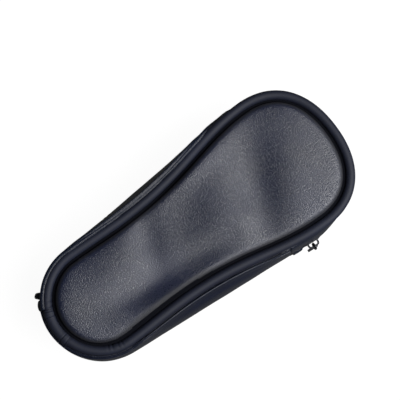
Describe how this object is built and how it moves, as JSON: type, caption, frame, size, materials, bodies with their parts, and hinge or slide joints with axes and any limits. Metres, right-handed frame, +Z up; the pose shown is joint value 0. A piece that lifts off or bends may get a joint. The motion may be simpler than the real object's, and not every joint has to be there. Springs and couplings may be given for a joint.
{
  "type": "zip case",
  "caption": "Padded soft leather-look zip case with a wide head and a narrow tail, piped edges, hinged lid, zip with sliding slider and hanging pull.",
  "frame": {"origin": "on the flat resting face under the base, half way along the case's length and on the centre line of its outline", "axes": "+X along the length towards the wide head, +Y towards the zipped side (the hinge is on the -Y side), +Z up from the resting face to the lid"},
  "size_m": [0.1927, 0.0907, 0.051],
  "materials": {
    "shell_leather": "soft grained black leather-look, satin",
    "piping_leather": "smooth black leather-look, satin",
    "piping_cord": "undyed cord inside the piping",
    "foam": "soft foam padding",
    "lining": "dark brushed lining fabric",
    "zip_tape": "woven black zip tape",
    "zip_teeth": "black moulded teeth, satin",
    "zip_metal": "gunmetal-plated, satin"
  },
  "bodies": {
    "base": {"base_panel": "shell_leather", "base_padding": "foam", "base_lining": "lining", "base_seam_binding": "lining", "base_piping_cover": "piping_leather", "base_piping_cord": "piping_cord", "base_piping_sleeve": "piping_leather", "base_band": "shell_leather", "base_wall_lining": "lining", "hinge_strip": "shell_leather", "zip_tape_lower": "zip_tape", "zip_teeth_lower": "zip_teeth", "zip_top_stop_lower": "zip_metal", "zip_bottom_stop": "zip_metal", "zip_tab_head": "shell_leather", "zip_tab_tail": "shell_leather"},
    "lid": {"lid_panel": "shell_leather", "lid_padding": "foam", "lid_lining": "lining", "lid_seam_binding": "lining", "lid_piping_cover": "piping_leather", "lid_piping_cord": "piping_cord", "lid_piping_sleeve": "piping_leather", "lid_band": "shell_leather", "lid_wall_lining": "lining", "zip_tape_upper": "zip_tape", "zip_teeth_upper": "zip_teeth", "zip_top_stop_upper": "zip_metal"},
    "slider": {"zip_slider": "zip_metal"},
    "link": {"pull_link": "zip_metal"},
    "pull": {"pull_tab": "zip_metal"}
  },
  "joints": [
    {"name": "lid_hinge", "type": "hinge", "parent": "base", "child": "lid", "pos_m": [0.05017, -0.04286, 0.0247], "axis": [0.9968, -0.0798, 0], "range_deg": [0, 60], "deforming": ["hinge_strip", "zip_tape_upper", "zip_teeth_upper"]},
    {"name": "slider_travel", "type": "hinge", "parent": "base", "child": "slider", "pos_m": [0.0536, 0, 0.0247], "axis": [0, 0, 1], "range_deg": [0, 180], "deforming": ["zip_teeth_lower"]},
    {"name": "link_swing", "type": "hinge", "parent": "slider", "child": "link", "pos_m": [0.05008, -0.04571, 0.0247], "axis": [-0.9971, 0.0767, 0], "range_deg": [0, 95]},
    {"name": "pull_swing", "type": "hinge", "parent": "link", "child": "pull", "pos_m": [0.05008, -0.04571, 0.01804], "axis": [-0.0767, -0.9971, 0], "range_deg": [-40, 40]}
  ]
}
